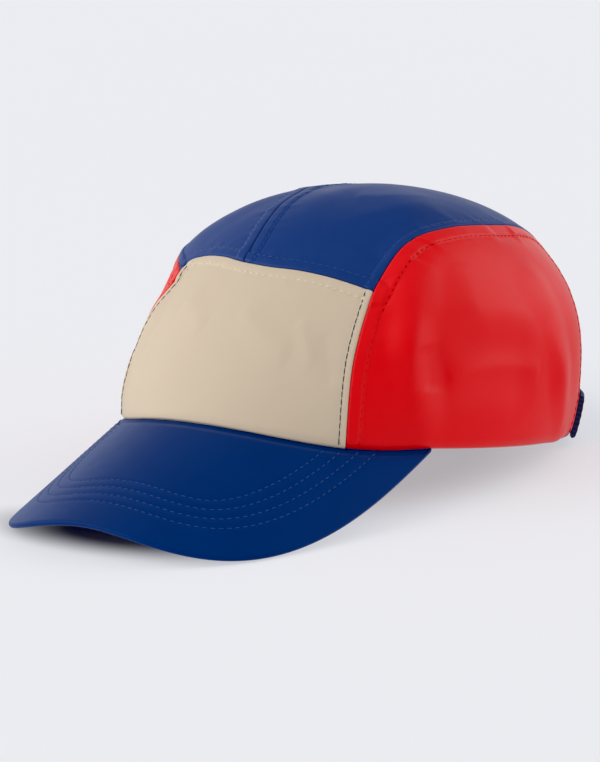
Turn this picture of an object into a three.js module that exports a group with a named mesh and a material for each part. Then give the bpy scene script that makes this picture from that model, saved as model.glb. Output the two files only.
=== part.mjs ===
// A five-panel cloth cap: a one-piece front panel, a top panel in two halves that runs over the
// head and down the back, two side panels, a stiff curved visor, and a webbing strap with its
// slider across the opening at the back. Millimetres, +Z up, front of the cap towards -Y,
// the wearer's left towards +X.
import * as THREE from "three";

// Driving dimensions
const HEAD_GIRTH = 580; // round the outside of the rim
const RIM_SHAPE = 0.822; // rim width over rim length
const CROWN_HEIGHT = 97.4; // top of the crown above the rim
const CLOTH = 1.5; // wall of a crown panel
const SEAM_GAP = 0.3; // between neighbouring pieces
const VISOR_REACH = 59.2; // forward of the rim, measured level
const VISOR_BOARD = 2.4; // covered board, top to underside
const STRAP_WIDTH = 16.5;
const STRAP_THICK = 2.4;

// Rim: an ellipse of the head's girth
const DEGREES = Math.PI / 180;
const ROUNDING = 1e-6; // a point this near the rim is on it
const ELLIPSE_SUM = 3 * (1 + RIM_SHAPE) - Math.sqrt((3 * RIM_SHAPE + 1) * (RIM_SHAPE + 3));
const RIM_LONG = HEAD_GIRTH / (Math.PI * ELLIPSE_SUM); // half length, front to back
const RIM_WIDE = RIM_LONG * RIM_SHAPE; // half width, side to side

// Crown: the top's place, and a section for each direction round the rim, 0 front to 180 back.
// rise and lean place the handle of the wall above the rim and inwards from it, and reach is
// the share of the way out to the rim at which the flat top starts to turn down.
const TOP_BACK = 9.4; // top of the crown behind the rim's middle
const TOP_SLOPE = 0.026; // the top falls this much towards the front
const SECTIONS = [
  { angle: 0, rise: 57.0, lean: 18.8, reach: 0.479 },
  { angle: 25, rise: 58.4, lean: 15.2, reach: 0.484 },
  { angle: 45, rise: 62.5, lean: 5.9, reach: 0.514 },
  { angle: 65, rise: 69.6, lean: -5.1, reach: 0.607 },
  { angle: 90, rise: 71.2, lean: -12.3, reach: 0.621 },
  { angle: 120, rise: 72.1, lean: -18.0, reach: 0.636 },
  { angle: 180, rise: 72.4, lean: -18.7, reach: 0.638 },
];

// Seams, on a plan of the crown where the rim is the unit circle and the top its middle:
// across is to the wearer's left and back is towards the back of the head. The soft crown
// leans over to the wearer's right, so its two sides differ a little.
const FRONT_SEAM = [
  { across: -0.434, back: -0.447 }, // right corner, where front, top and side panels meet
  { across: -0.408, back: -0.416 },
  { across: -0.328, back: -0.447 },
  { across: -0.2, back: -0.504 },
  { across: -0.076, back: -0.546 }, // halfway along, where the seam over the top starts
  { across: 0.06, back: -0.556 },
  { across: 0.2, back: -0.529 },
  { across: 0.336, back: -0.484 },
  { across: 0.451, back: -0.435 }, // left corner
];
const CENTRE_SEAM = [
  { across: -0.076, back: -0.546 },
  { across: -0.098, back: -0.455 },
  { across: -0.128, back: -0.35 },
  { across: -0.155, back: -0.23 },
  { across: -0.155, back: -0.08 },
  { across: -0.125, back: 0.14 },
  { across: -0.065, back: 0.42 },
  { across: 0, back: 0.72 },
];
const LEFT_SIDE_SEAM = [
  { across: 0.451, back: -0.435 },
  { across: 0.545, back: -0.61 },
  { across: 0.664, back: -0.748 },
];
const RIGHT_SIDE_SEAM = [
  { across: -0.434, back: -0.447 },
  { across: -0.456, back: -0.492 },
  { across: -0.51, back: -0.521 },
  { across: -0.58, back: -0.556 },
  { across: -0.664, back: -0.61 },
  { across: -0.748, back: -0.664 },
];
const RIGHT_TOP_SEAM = [
  { across: -0.434, back: -0.447 },
  { across: -0.484, back: -0.37 },
  { across: -0.53, back: -0.283 },
  { across: -0.552, back: -0.172 },
  { across: -0.556, back: -0.05 },
  { across: -0.543, back: 0.07 },
  { across: -0.513, back: 0.2 },
  { across: -0.478, back: 0.33 },
  { across: -0.485, back: 0.43 },
  { across: -0.56, back: 0.505 },
  { across: -0.68, back: 0.535 },
  { across: -0.815, back: 0.58 },
];
const LEFT_TOP_SEAM = [
  { across: 0.451, back: -0.435 },
  { across: 0.418, back: -0.335 },
  { across: 0.391, back: -0.225 },
  { across: 0.391, back: -0.11 },
  { across: 0.392, back: 0.01 },
  { across: 0.376, back: 0.12 },
  { across: 0.36, back: 0.23 },
  { across: 0.366, back: 0.35 },
  { across: 0.42, back: 0.45 },
  { across: 0.53, back: 0.51 },
  { across: 0.665, back: 0.535 },
  { across: 0.815, back: 0.58 },
];
const ARCH = { halfAcross: 0.39, top: 0.72 }; // opening at the back, cut from the top panel

// Soft bends of the cloth, first on the left and then on the right: a line on the same plan,
// its half width there, and how far the cloth stands out or sinks in along it.
const FOLDS = [
  { from: [0.45, -0.28], to: [0.64, -0.43], half: 0.11, out: 1.3 },
  { from: [0.64, -0.43], to: [0.84, -0.46], half: 0.1, out: 0.9 },
  { from: [0.745, -0.34], to: [0.825, -0.05], half: 0.14, out: -2.2 },
  { from: [0.62, 0.09], to: [0.83, 0.21], half: 0.1, out: 1.1 },
  { from: [0.83, 0.21], to: [0.93, 0.36], half: 0.1, out: 0.8 },
  { from: [0.42, 0.36], to: [0.65, 0.5], half: 0.17, out: -1.25 },
  { from: [-0.62, -0.34], to: [-0.695, -0.485], half: 0.15, out: -3.3 },
  { from: [-0.5, -0.54], to: [-0.58, -0.62], half: 0.1, out: 1.3 },
  { from: [-0.66, -0.6], to: [-0.675, -0.635], half: 0.07, out: 1.2 },
  { from: [-0.14, -0.06], to: [-0.34, -0.14], half: 0.2, out: -0.8 },
];

// Visor: a board bent to a parabola across and sloping down towards the front
const VISOR_ANGLE = 62.9 * DEGREES; // where its ends meet the rim, from the front
const VISOR_SLOPE = 30 * DEGREES;
const VISOR_BEND = 76.7; // radius of the bend at its middle
const VISOR_SQUARE_SIDE = 2.79; // powers of its outline
const VISOR_SQUARE_FRONT = 2.75;
const VISOR_TUCK = 4; // margin that passes under the crown's edge
const VISOR_END = VISOR_ANGLE + 0.7 * DEGREES; // the rim leaves the visor here

// Rest: the cap stands on the visor's sides and on the heel at the back of the rim,
// which lies flat on the surface behind this line.
const HEEL_BACK = 84;

// Strap and slider, on the back of the crown
const STRAP_START = 127 * DEGREES; // where the strap is sewn on, from the front
const STRAP_LIFT = 0; // lower edge above the rim at its ends
const STRAP_RISE = 4.4; // and higher by this at the middle of the back
const STRAP_CLEAR = 0.4;
const SLIDER_LENGTH = 12;
const SLIDER_WALL = 1.5;
const SLIDER_CLEAR = 0.35;

// Mesh steps
const SIDE_STEPS = 20; // along the top of a side panel
const TEMPLE_STEPS = 5; // of those along its rim, the ones over the visor
const WALL_STEPS = 14; // up the front and back of a side panel
const HALF_STEPS = 12; // from the middle of the front panel to its edge
const HEM_STEPS = 5; // of those across the top panel's tail, the ones beside the arch
const VISOR_STEPS = 36;
const VISOR_ROWS = 8;
const STRAP_STEPS = 20;
const STRAP_ROWS = 3;
const SLIDER_STEPS = 4;

const CLOTH_FINISH = { roughness: 0.55, metalness: 0 };
const sand = new THREE.MeshStandardMaterial({ color: 0xcdbda3, ...CLOTH_FINISH });
const blue = new THREE.MeshStandardMaterial({ color: 0x1f3f86, ...CLOTH_FINISH });
const red = new THREE.MeshStandardMaterial({ color: 0xc9252c, ...CLOTH_FINISH });
const webbing = new THREE.MeshStandardMaterial({ color: 0x1c2848, roughness: 0.85, metalness: 0 });
const plastic = new THREE.MeshStandardMaterial({ color: 0x17181c, roughness: 0.4, metalness: 0 });

// A smooth curve through one column of the sections, level at the front and at the back.
function sectionValue(column, angle) {
  const last = SECTIONS.length - 1;
  const next = SECTIONS.findIndex((row, n) => n > 0 && angle <= row.angle);
  const i = (next < 0 ? last : next) - 1;
  const slope = (n) => {
    if (n === 0 || n === last) return 0;
    const rise = SECTIONS[n + 1][column] - SECTIONS[n - 1][column];
    return rise / (SECTIONS[n + 1].angle - SECTIONS[n - 1].angle);
  };
  const span = SECTIONS[i + 1].angle - SECTIONS[i].angle;
  const t = (angle - SECTIONS[i].angle) / span;
  const before = (1 + 2 * t) * (1 - t) ** 2 * SECTIONS[i][column];
  const after = (3 - 2 * t) * t ** 2 * SECTIONS[i + 1][column];
  return before + after + span * t * (1 - t) * ((1 - t) * slope(i) - t * slope(i + 1));
}

// Height of the visor's top face over the plan, level with the rim at the visor's ends.
function visorHeight(x, y) {
  const endX = RIM_WIDE * Math.sin(VISOR_ANGLE);
  const endY = -RIM_LONG * Math.cos(VISOR_ANGLE);
  const fall = Math.tan(VISOR_SLOPE) * (y - endY);
  return fall + (endX ** 2 - x ** 2) / (2 * VISOR_BEND);
}

function visorEdge(u) {
  const turn = u * Math.PI / 2;
  const endX = RIM_WIDE * Math.sin(VISOR_ANGLE);
  const endY = -RIM_LONG * Math.cos(VISOR_ANGLE);
  const x = endX * Math.sign(u) * Math.abs(Math.sin(turn)) ** (2 / VISOR_SQUARE_SIDE);
  const front = -RIM_LONG - VISOR_REACH;
  const y = endY + (front - endY) * Math.abs(Math.cos(turn)) ** (2 / VISOR_SQUARE_FRONT);
  return new THREE.Vector2(x, y);
}

function visorTuck(u) {
  const angle = u * VISOR_ANGLE;
  return new THREE.Vector2(
    (RIM_WIDE - VISOR_TUCK) * Math.sin(angle),
    -(RIM_LONG - VISOR_TUCK) * Math.cos(angle),
  );
}

// A mesh of four-cornered faces, each cut along its shorter diagonal.
function quadMesh(points, quads) {
  const triangles = quads.flatMap(([a, b, c, d]) => {
    const acIsShorter = points[a].distanceTo(points[c]) <= points[b].distanceTo(points[d]);
    return acIsShorter ? [a, b, c, a, c, d] : [a, b, d, b, c, d];
  });
  const places = points.flatMap((point) => point.toArray());
  const geometry = new THREE.BufferGeometry();
  geometry.setAttribute("position", new THREE.Float32BufferAttribute(places, 3));
  geometry.setIndex(triangles);
  geometry.computeVertexNormals();
  return geometry;
}

// A closed sheet from the grids of its two faces: rows run up and columns run to the right,
// as seen from outside.
function closedSheet(outer, inner) {
  const rows = outer.length;
  const columns = outer[0].length;
  const half = rows * columns;
  const quads = [];
  for (let j = 0; j < rows - 1; j++) {
    for (let i = 0; i < columns - 1; i++) {
      const a = j * columns + i;
      quads.push([a, a + 1, a + columns + 1, a + columns]);
      quads.push([half + a, half + a + columns, half + a + columns + 1, half + a + 1]);
    }
  }
  const border = [];
  for (let i = 0; i < columns - 1; i++) border.push(i);
  for (let j = 0; j < rows - 1; j++) border.push(j * columns + columns - 1);
  for (let i = columns - 1; i > 0; i--) border.push((rows - 1) * columns + i);
  for (let j = rows - 1; j > 0; j--) border.push(j * columns);
  border.forEach((a, n) => {
    const b = border[(n + 1) % border.length];
    quads.push([a, half + a, half + b, b]);
  });
  return quadMesh([...outer.flat(), ...inner.flat()], quads);
}

// A closed ring: a list of sections that comes back to its start, each a loop of points.
function closedRing(sections) {
  const count = sections.length;
  const size = sections[0].length;
  const quads = [];
  for (let j = 0; j < count; j++) {
    for (let i = 0; i < size; i++) {
      const here = j * size;
      const there = ((j + 1) % count) * size;
      const next = (i + 1) % size;
      quads.push([here + i, here + next, there + next, there + i]);
    }
  }
  return quadMesh(sections.flat(), quads);
}

function named(name, geometry, material) {
  const mesh = new THREE.Mesh(geometry, material);
  mesh.name = name;
  return mesh;
}

// The visor runs from its tucked margin to its edge; its underside lies a board below.
function visorGeometry() {
  const top = [];
  const under = [];
  for (let j = 0; j <= VISOR_ROWS; j++) {
    top.push([]);
    under.push([]);
    for (let i = 0; i <= VISOR_STEPS; i++) {
      const u = 2 * i / VISOR_STEPS - 1;
      const plan = visorEdge(u).lerp(visorTuck(u), j / VISOR_ROWS);
      const point = new THREE.Vector3(plan.x, plan.y, visorHeight(plan.x, plan.y) - SEAM_GAP);
      const down = new THREE.Vector3(-plan.x / VISOR_BEND, Math.tan(VISOR_SLOPE), -1).normalize();
      top[j].push(point);
      under[j].push(point.clone().addScaledVector(down, VISOR_BOARD));
    }
  }
  return closedSheet(top, under);
}

// How far the cap leans back on its heel once the visor's lowest points are on the surface.
function standingTilt(geometry) {
  const places = geometry.getAttribute("position");
  let tilt = 0;
  for (let n = 0; n < places.count; n++) {
    tilt = Math.max(tilt, Math.atan2(-places.getZ(n), HEEL_BACK - places.getY(n)));
  }
  return tilt;
}

const visor = visorGeometry();
const TILT = standingTilt(visor);

// The rim follows the visor at the front and the surface behind the heel line.
function rimHeight(x, y, angle) {
  if (Math.abs(angle) < VISOR_END + ROUNDING) return visorHeight(x, y);
  return Math.max(0, y - HEEL_BACK) * Math.tan(TILT);
}

function smoothCrown(across, back) {
  const angle = Math.atan2(across, -back);
  const turn = Math.abs(angle) / DEGREES;
  const x = RIM_WIDE * Math.sin(angle);
  const y = -RIM_LONG * Math.cos(angle);
  const foot = new THREE.Vector3(x, y, rimHeight(x, y, angle));
  const out = new THREE.Vector2(x, y - TOP_BACK);
  const inwards = out.clone().setLength(sectionValue("lean", turn));
  const wall = new THREE.Vector3(x - inwards.x, y - inwards.y, sectionValue("rise", turn));
  out.multiplyScalar(sectionValue("reach", turn));
  const shoulder = new THREE.Vector3(out.x, TOP_BACK + out.y, CROWN_HEIGHT + TOP_SLOPE * out.y);
  const top = new THREE.Vector3(0, TOP_BACK, CROWN_HEIGHT);
  return new THREE.CubicBezierCurve3(foot, wall, shoulder, top).getPoint(1 - Math.hypot(across, back));
}

function crownNormal(across, back) {
  const step = 0.002;
  const side = smoothCrown(across + step, back).sub(smoothCrown(across - step, back));
  return side.cross(smoothCrown(across, back + step).sub(smoothCrown(across, back - step))).normalize();
}

function foldDepth(across, back) {
  const place = new THREE.Vector3(across, back, 0);
  const nearest = new THREE.Vector3();
  let depth = 0;
  for (const { from, to, half, out } of FOLDS) {
    const line = new THREE.Line3(new THREE.Vector3(...from, 0), new THREE.Vector3(...to, 0));
    line.closestPointToPoint(place, true, nearest);
    const away = Math.min(1, nearest.distanceTo(place) / half);
    depth += out * (1 + Math.cos(Math.PI * away)) / 2;
  }
  return depth;
}

// A point on the outside of the crown, or raised by some height above it.
function crown(across, back, raised = 0) {
  const lift = foldDepth(across, back) + raised;
  return smoothCrown(across, back).addScaledVector(crownNormal(across, back), lift);
}

// The inside of the wall. Along the rim the wall is cut to stand on the visor or the surface.
function crownInside(across, back) {
  if (Math.hypot(across, back) < 1 - ROUNDING) return crown(across, back, -CLOTH);
  const inside = crown(across, back);
  const level = crownNormal(across, back).setZ(0).normalize();
  inside.addScaledVector(level, -CLOTH);
  return inside.setZ(rimHeight(inside.x, inside.y, Math.atan2(across, -back)));
}

// Moves the sewn edges of a panel's grid back from the seam by half the gap.
function drawBack(grid, edges) {
  const rows = grid.length;
  const columns = grid[0].length;
  const shift = (point, inner) => point.add(inner.clone().sub(point).setLength(SEAM_GAP / 2));
  for (let j = 0; j < rows; j++) {
    if (edges.left) shift(grid[j][0], grid[j][1]);
    if (edges.right) shift(grid[j][columns - 1], grid[j][columns - 2]);
  }
  for (let i = 0; i < columns; i++) {
    if (edges.bottom) shift(grid[0][i], grid[1][i]);
    if (edges.top) shift(grid[rows - 1][i], grid[rows - 2][i]);
  }
}

// A cloth panel between four edges on the crown's plan. Each edge is a list of plan points:
// bottom and top run to the right, left and right run up, as seen from outside.
function panel({ bottom, top, left, right }, sewn) {
  const columns = bottom.length - 1;
  const rows = left.length - 1;
  const outer = [];
  const inner = [];
  for (let j = 0; j <= rows; j++) {
    outer.push([]);
    inner.push([]);
    for (let i = 0; i <= columns; i++) {
      const s = i / columns;
      const t = j / rows;
      const plan = bottom[i].clone().lerp(top[i], t).add(left[j].clone().lerp(right[j], s));
      plan.sub(bottom[0].clone().lerp(bottom[columns], s).lerp(top[0].clone().lerp(top[columns], s), t));
      outer[j].push(crown(plan.x, plan.y));
      inner[j].push(crownInside(plan.x, plan.y));
    }
  }
  drawBack(outer, sewn);
  drawBack(inner, sewn);
  return closedSheet(outer, inner);
}

// Edges of the panels on the plan, as evenly stepped points
const plan2 = (row) => new THREE.Vector2(row.across, row.back);
const stepped = (steps, pointAt) => Array.from({ length: steps + 1 }, (_, n) => pointAt(n / steps));
const spline = (rows) => new THREE.SplineCurve(rows.map(plan2));
const rimPoint = (angle) => new THREE.Vector2(Math.sin(angle), -Math.cos(angle));
const rimArc = (from, to, steps) => stepped(steps, (t) => rimPoint(from + (to - from) * t));
const angleOf = (row) => Math.atan2(row.across, -row.back);

// The two seams of one side, with their feet on the rim
function seamsOf(sideRows, topRows) {
  const frontFoot = angleOf(sideRows.at(-1));
  const backFoot = angleOf(topRows.at(-1));
  const sideSeam = spline(sideRows).getPoints(WALL_STEPS).reverse();
  const topSeam = spline(topRows).getPoints(SIDE_STEPS + WALL_STEPS);
  sideSeam[0] = rimPoint(frontFoot);
  topSeam[SIDE_STEPS + WALL_STEPS] = rimPoint(backFoot);
  return { frontFoot, backFoot, sideSeam, topSeam };
}
const leftSeams = seamsOf(LEFT_SIDE_SEAM, LEFT_TOP_SEAM);
const rightSeams = seamsOf(RIGHT_SIDE_SEAM, RIGHT_TOP_SEAM);
const frontSeam = spline(FRONT_SEAM).getPoints(2 * HALF_STEPS);
const centreSeam = spline(CENTRE_SEAM).getPoints(SIDE_STEPS + WALL_STEPS);
const archFoot = Math.PI - Math.asin(ARCH.halfAcross);

const frontEdges = {
  bottom: rimArc(rightSeams.frontFoot, leftSeams.frontFoot, 2 * HALF_STEPS),
  top: frontSeam,
  left: rightSeams.sideSeam,
  right: leftSeams.sideSeam,
};

// A panel's edges on the left of the cap; side is 1 there, and -1 gives them on the right,
// where they run the other way round as seen from outside.
function turnedOver({ bottom, top, left, right }) {
  return { bottom: bottom.toReversed(), top: top.toReversed(), left: right, right: left };
}

function sideEdges(side, { frontFoot, backFoot, sideSeam, topSeam }) {
  const edges = {
    bottom: [
      ...rimArc(frontFoot, side * VISOR_END, TEMPLE_STEPS),
      ...rimArc(side * VISOR_END, backFoot, SIDE_STEPS - TEMPLE_STEPS).slice(1),
    ],
    top: topSeam.slice(0, SIDE_STEPS + 1),
    left: sideSeam,
    right: topSeam.slice(SIDE_STEPS).reverse(),
  };
  return side > 0 ? edges : turnedOver(edges);
}

function topEdges(side, { backFoot, topSeam }) {
  const foot = rimPoint(side * archFoot);
  const archCurve = stepped(HALF_STEPS - HEM_STEPS, (t) => {
    const turn = t * Math.PI / 2;
    return new THREE.Vector2(foot.x * Math.sin(turn), foot.y + (ARCH.top - foot.y) * Math.cos(turn));
  });
  const frontHalf = side > 0 ? frontSeam.slice(HALF_STEPS) : frontSeam.slice(0, HALF_STEPS + 1).reverse();
  const edges = {
    bottom: frontHalf,
    top: [...archCurve, ...rimArc(side * archFoot, backFoot, HEM_STEPS).slice(1)],
    left: centreSeam,
    right: topSeam,
  };
  return side > 0 ? edges : turnedOver(edges);
}

const sewnFront = { left: true, right: true, top: true };
const sewnTop = { left: true, right: true, bottom: true };
const cap = new THREE.Group();
cap.add(named("front_panel", panel(frontEdges, sewnFront), sand));
cap.add(named("top_panel_left", panel(topEdges(1, leftSeams), sewnTop), blue));
cap.add(named("top_panel_right", panel(topEdges(-1, rightSeams), sewnTop), blue));
cap.add(named("side_panel_left", panel(sideEdges(1, leftSeams), sewnFront), red));
cap.add(named("side_panel_right", panel(sideEdges(-1, rightSeams), sewnFront), red));
cap.add(named("visor", visor, blue));

// The strap lies on the tail of the top panel and bridges the arch on the same curve.
const BACK_HEM = 0.1; // the lowest tenth of the plan at the back, nearly straight
const wallLength = smoothCrown(0, 1).distanceTo(smoothCrown(0, 1 - BACK_HEM)) / BACK_HEM;
const strapLength = 2 * (Math.PI - STRAP_START) * (RIM_WIDE + RIM_LONG) / 2;

function strapPoint(turn, rise, raised) {
  const angle = STRAP_START + (2 * Math.PI - 2 * STRAP_START) * turn;
  const lift = STRAP_LIFT + STRAP_RISE * Math.sin(Math.PI * turn) + STRAP_WIDTH * rise;
  const plan = rimPoint(angle).multiplyScalar(1 - lift / wallLength);
  return crown(plan.x, plan.y, raised);
}

function strapGrid(raised) {
  return stepped(STRAP_ROWS, (rise) => stepped(STRAP_STEPS, (turn) => strapPoint(turn, rise, raised)));
}
const strap = closedSheet(strapGrid(STRAP_CLEAR + STRAP_THICK), strapGrid(STRAP_CLEAR));
cap.add(named("back_strap", strap, webbing));

// The slider is a flat loop round the strap at the middle of the back: its section at each
// place round the strap runs along its outer wall and back along its inner one.
function sliderGeometry() {
  const halfTurn = SLIDER_LENGTH / 2 / strapLength;
  const around = [];
  for (let n = 0; n <= STRAP_ROWS; n++) around.push({ rise: n / STRAP_ROWS, face: 1 });
  for (let n = STRAP_ROWS; n >= 0; n--) around.push({ rise: n / STRAP_ROWS, face: -1 });
  const wall = ({ rise, face }, grow) => stepped(SLIDER_STEPS, (t) => {
    const turn = 0.5 + halfTurn * (2 * t - 1);
    const end = Math.abs(rise - 0.5) === 0.5 ? Math.sign(rise - 0.5) * grow / STRAP_WIDTH : 0;
    const raised = STRAP_CLEAR + STRAP_THICK / 2 + face * (STRAP_THICK / 2 + grow);
    return strapPoint(turn, rise + end, raised);
  });
  return closedRing(around.map((place) => [
    ...wall(place, SLIDER_CLEAR + SLIDER_WALL),
    ...wall(place, SLIDER_CLEAR).reverse(),
  ]));
}
cap.add(named("strap_slider", sliderGeometry(), plastic));

// Stands the cap on the surface, with the origin under the middle of its box.
cap.rotation.x = -TILT;
const box = new THREE.Box3().setFromObject(cap, true);
cap.position.set(0, -(box.min.y + box.max.y) / 2, -box.min.z);

export default cap;
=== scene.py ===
import math

import bpy
import numpy as np
from mathutils import Matrix, Vector, kdtree


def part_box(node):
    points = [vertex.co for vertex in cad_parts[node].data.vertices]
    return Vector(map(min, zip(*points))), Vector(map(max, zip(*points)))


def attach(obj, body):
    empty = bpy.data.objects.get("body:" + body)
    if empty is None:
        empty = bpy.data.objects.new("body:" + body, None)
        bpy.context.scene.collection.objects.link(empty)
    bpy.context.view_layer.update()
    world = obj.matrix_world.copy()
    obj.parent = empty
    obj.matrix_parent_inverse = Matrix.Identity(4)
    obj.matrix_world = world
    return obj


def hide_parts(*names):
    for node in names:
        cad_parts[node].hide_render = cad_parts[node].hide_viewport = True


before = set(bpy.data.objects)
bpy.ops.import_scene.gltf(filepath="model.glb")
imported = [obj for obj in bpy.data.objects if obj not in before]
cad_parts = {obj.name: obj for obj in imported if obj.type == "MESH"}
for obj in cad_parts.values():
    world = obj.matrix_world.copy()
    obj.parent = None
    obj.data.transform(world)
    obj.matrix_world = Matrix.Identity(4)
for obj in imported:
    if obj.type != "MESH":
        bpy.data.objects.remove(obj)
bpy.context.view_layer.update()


# Visor
# A moulded board between two faces of coated blue cloth, which are turned in round its edge and sewn
# through in four rows. Its margin is tucked under the crown, and the cap stands on its two low sides.
# All sizes are millimetres in the cap's own frame: +Z up, the front towards -Y, the wearer's left +X.
MM = 0.001
DEGREES = math.pi / 180
HEAD_GIRTH = 580.0
RIM_SHAPE = 0.822  # rim width over rim length
ELLIPSE_SUM = 3 * (1 + RIM_SHAPE) - math.sqrt((3 * RIM_SHAPE + 1) * (RIM_SHAPE + 3))
RIM_LONG = HEAD_GIRTH / (math.pi * ELLIPSE_SUM)
RIM_WIDE = RIM_LONG * RIM_SHAPE
SEAM_GAP = 0.3
HEEL_BACK = 84.0  # behind this line the rim lies flat on the surface
VISOR_REACH = 59.2
VISOR_BOARD = 2.4
VISOR_ANGLE = 62.9 * DEGREES  # where its ends meet the rim, from the front
VISOR_SLOPE = 30 * DEGREES
VISOR_BEND = 76.7  # radius of the bend at its middle
VISOR_SQUARE_SIDE = 2.79  # powers of its outline
VISOR_SQUARE_FRONT = 2.75
VISOR_TUCK = 4.0
VISOR_END_X = RIM_WIDE * math.sin(VISOR_ANGLE)
VISOR_END_Y = -RIM_LONG * math.cos(VISOR_ANGLE)
VISOR_ROW_FIRST = 14.3  # first row of stitches, in from the edge
VISOR_ROW_STEP = 4.8
VISOR_ROWS = VISOR_ROW_FIRST + VISOR_ROW_STEP * np.arange(4)
VISOR_GROOVE = 0.16  # how far each row draws the cover in
VISOR_PUFF = 0.05  # how far the cover swells between rows
JOIN_DIP = 0.8  # how far the seam under the crown draws the cover down
JOIN_REACH = 1.3
STITCH_PITCH = 3.0
ROW_WIDTH = 0.7  # of the groove that a row pulls into the cloth
HOLE_SHARE = 0.2  # of the groove's depth that comes and goes with the needle holes


def visor_height(x, y):
    fall = math.tan(VISOR_SLOPE) * (y - VISOR_END_Y)
    return fall + (VISOR_END_X**2 - x**2) / (2 * VISOR_BEND)


def visor_place(u, inwards):
    """A point of the visor's top: u runs along it from -1 to 1, and inwards from its edge, at 0,
    to its tucked margin, at 1."""
    turn = u * math.pi / 2
    edge_x = VISOR_END_X * np.sign(u) * np.abs(np.sin(turn)) ** (2 / VISOR_SQUARE_SIDE)
    front = -RIM_LONG - VISOR_REACH - VISOR_END_Y
    edge_y = VISOR_END_Y + front * np.abs(np.cos(turn)) ** (2 / VISOR_SQUARE_FRONT)
    tuck_x = (RIM_WIDE - VISOR_TUCK) * np.sin(u * VISOR_ANGLE)
    tuck_y = -(RIM_LONG - VISOR_TUCK) * np.cos(u * VISOR_ANGLE)
    x = edge_x + (tuck_x - edge_x) * inwards
    y = edge_y + (tuck_y - edge_y) * inwards
    return np.stack([x, y, visor_height(x, y) - SEAM_GAP], axis=-1)


def unit(vectors):
    return vectors / np.linalg.norm(vectors, axis=-1, keepdims=True)


def visor_down(points):
    across = -points[..., 0] / VISOR_BEND
    slope = np.full_like(across, math.tan(VISOR_SLOPE))
    return unit(np.stack([across, slope, -np.ones_like(across)], axis=-1))


# The cap leans back on its heel until the visor's low sides are on the surface, and it stands where
# the frame's visor does. The steps are those of the solid, whose box gives the place.
SOLID_STEPS = (37, 9)
board_u, board_in = np.meshgrid(np.linspace(-1, 1, SOLID_STEPS[0]), np.linspace(0, 1, SOLID_STEPS[1]))
board_top = visor_place(board_u, board_in).reshape(-1, 3)
board = np.concatenate([board_top, board_top + VISOR_BOARD * visor_down(board_top)])
TILT = np.arctan2(-board[:, 2], HEEL_BACK - board[:, 1]).max()
TURN = np.array(Matrix.Rotation(-TILT, 3, "X"))
SHIFT = np.array(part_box("visor")[0]) / MM - (board @ TURN.T).min(axis=0)


def stand(points):
    """Points of the cap's own frame, in metres where the cap stands."""
    return (points @ TURN.T + SHIFT) * MM


def line_of(points):
    """A line through the points that can be measured from."""
    lengths = np.linalg.norm(np.diff(points, axis=0), axis=1)
    tree = kdtree.KDTree(len(points))
    for n, point in enumerate(points):
        tree.insert(point, n)
    tree.balance()
    return {"points": points, "along": np.concatenate([[0.0], np.cumsum(lengths)]), "tree": tree}


def measured(line, points):
    """How far each point is from the line, and how far along the line the nearest place is."""
    last = len(line["points"]) - 2
    nearest = np.array([line["tree"].find(point)[1] for point in points])
    away = np.full(len(points), np.inf)
    along = np.zeros(len(points))
    for first in (np.clip(nearest - 1, 0, last), np.clip(nearest, 0, last)):
        start = line["points"][first]
        step = line["points"][first + 1] - start
        share = np.clip(((points - start) * step).sum(axis=1) / (step * step).sum(axis=1), 0, 1)
        reach = np.linalg.norm(points - start - share[:, None] * step, axis=1)
        closer = reach < away
        away = np.where(closer, reach, away)
        there = line["along"][first] + share * np.linalg.norm(step, axis=1)
        along = np.where(closer, there, along)
    return away, along


def row_groove(away, along, rows, depth):
    """The dip that rows of stitches pull into cloth, deepest at each needle hole."""
    holes = 1 - HOLE_SHARE + HOLE_SHARE * np.cos(2 * math.pi * along / STITCH_PITCH)
    return -depth * holes * sum(np.exp(-(((away - row) / ROW_WIDTH) ** 2)) for row in rows)


VISOR_COLUMNS = 330
VISOR_TOP_STEPS = 112
VISOR_UNDER_STEPS = 48
VISOR_ROUND_STEPS = 10
VISOR_FINE = 6001
VISOR_EDGE_MOST = 0.4  # share of the visor's width that its rounded edge may take where it is narrow
visor_u_fine = np.linspace(-1, 1, VISOR_FINE)
visor_edge = line_of(visor_place(visor_u_fine, 0.0))
visor_even = np.linspace(0, visor_edge["along"][-1], VISOR_COLUMNS + 1)
visor_u = np.interp(visor_even, visor_edge["along"], visor_u_fine)


def visor_grid(steps):
    """Places on the visor's top from inside its rounded edge to the tuck, a row for each column."""
    reach = np.linalg.norm(visor_place(visor_u, 1.0) - visor_place(visor_u, 0.0), axis=-1)
    first = np.minimum(VISOR_EDGE_MOST, VISOR_BOARD / 2 / reach)[:, None]
    inwards = first + (1 - first) * np.linspace(0, 1, steps + 1)[None, :]
    return visor_place(np.broadcast_to(visor_u[:, None], inwards.shape), inwards)


def visor_lift(points):
    away, along = measured(visor_edge, points.reshape(-1, 3))
    inside = (away > VISOR_ROWS[0]) & (away < VISOR_ROWS[-1])
    swell = np.sin(math.pi * (away - VISOR_ROWS[0]) / VISOR_ROW_STEP) ** 2
    lift = row_groove(away, along, VISOR_ROWS, VISOR_GROOVE) + np.where(inside, VISOR_PUFF * swell, 0)
    lift = lift.reshape(points.shape[:-1])
    past_rim = (np.hypot(points[..., 0] / RIM_WIDE, points[..., 1] / RIM_LONG) - 1) * RIM_LONG
    return lift - JOIN_DIP * np.exp(-((np.maximum(0, past_rim) / JOIN_REACH) ** 2))


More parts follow.
